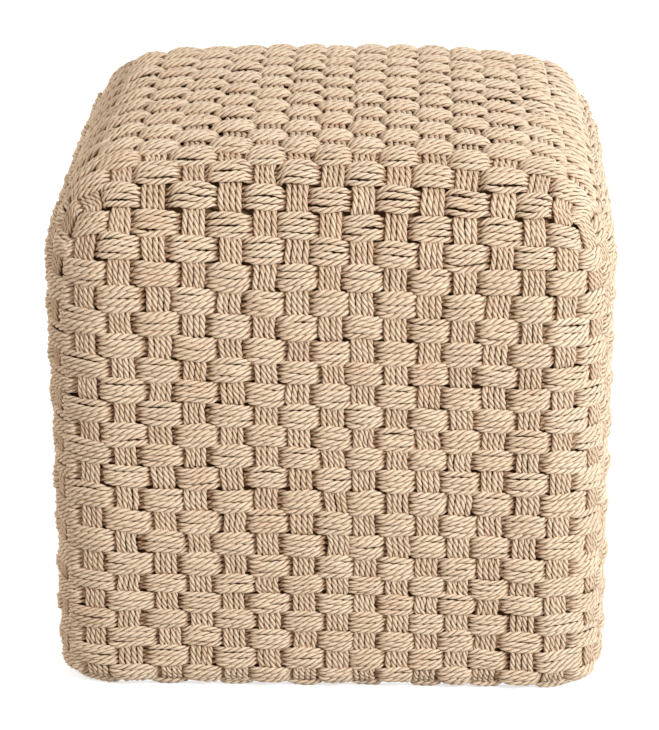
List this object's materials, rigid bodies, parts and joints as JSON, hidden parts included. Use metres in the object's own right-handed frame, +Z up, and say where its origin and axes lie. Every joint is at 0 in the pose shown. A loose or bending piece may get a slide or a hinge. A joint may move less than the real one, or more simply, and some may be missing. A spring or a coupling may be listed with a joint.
{
  "type": "woven cord pouf",
  "caption": "Cube-shaped porch footstool: firm filled core in a basketweave cord cover with soft rounded edges, a crowned top and a zip in the flat base.",
  "frame": {"origin": "on the floor, under the middle of the pouf", "axes": "+Z up through the middle of the top, front face towards -Y, zip along X with its closed end at +X"},
  "size_m": [0.457, 0.457, 0.457],
  "materials": {
    "cord": "plied, twisted jute-look outdoor cord, matt",
    "lining_cloth": "plain woven cloth, matt",
    "binding_tape": "ribbed grosgrain tape, matt",
    "canvas": "coated plain-weave canvas, matt",
    "felt": "needled felt, matt",
    "zip_tape": "woven zip tape, matt",
    "tooth_plastic": "moulded teeth, satin",
    "zinc": "nickel-plated casting, satin",
    "liner_cloth": "spunbond non-woven, matt",
    "board_plastic": "twin-wall sheet, satin",
    "firm_foam": "open-cell firm foam, matt",
    "soft_foam": "open-cell soft foam, matt",
    "wadding": "polyester wadding, matt"
  },
  "bodies": {
    "pouf": {"woven_cover": "cord", "cover_lining": "lining_cloth", "hem_binding": "binding_tape", "base_canvas_front": "canvas", "base_canvas_rear": "canvas", "base_felt_front": "felt", "base_felt_rear": "felt", "drain_eyelet_1": "zinc", "drain_eyelet_2": "zinc", "drain_eyelet_3": "zinc", "drain_eyelet_4": "zinc", "zip_tape_front": "zip_tape", "zip_tape_rear": "zip_tape", "zip_teeth_front": "tooth_plastic", "zip_teeth_rear": "tooth_plastic", "zip_top_stop_front": "tooth_plastic", "zip_top_stop_rear": "tooth_plastic", "zip_bottom_stop": "tooth_plastic", "zip_end_tab_left": "canvas", "zip_end_tab_right": "canvas", "inner_liner": "liner_cloth", "liner_base_panel": "liner_cloth", "base_board": "board_plastic", "core_slab_1": "firm_foam", "core_slab_2": "firm_foam", "core_slab_3": "firm_foam", "crown_pad": "soft_foam", "wadding_wrap": "wadding", "wadding_top": "wadding"},
    "slider": {"zip_slider": "zinc"},
    "pull": {"zip_pull": "zinc"}
  },
  "joints": [
    {"name": "zip_slide", "type": "slide", "parent": "pouf", "child": "slider", "axis": [-1, 0, 0], "range_m": [0, 0.266]},
    {"name": "pull_swing", "type": "hinge", "parent": "slider", "child": "pull", "pos_m": [0.133, 0, 0.0098], "axis": [0, -1, 0], "range_deg": [0, 180]}
  ]
}
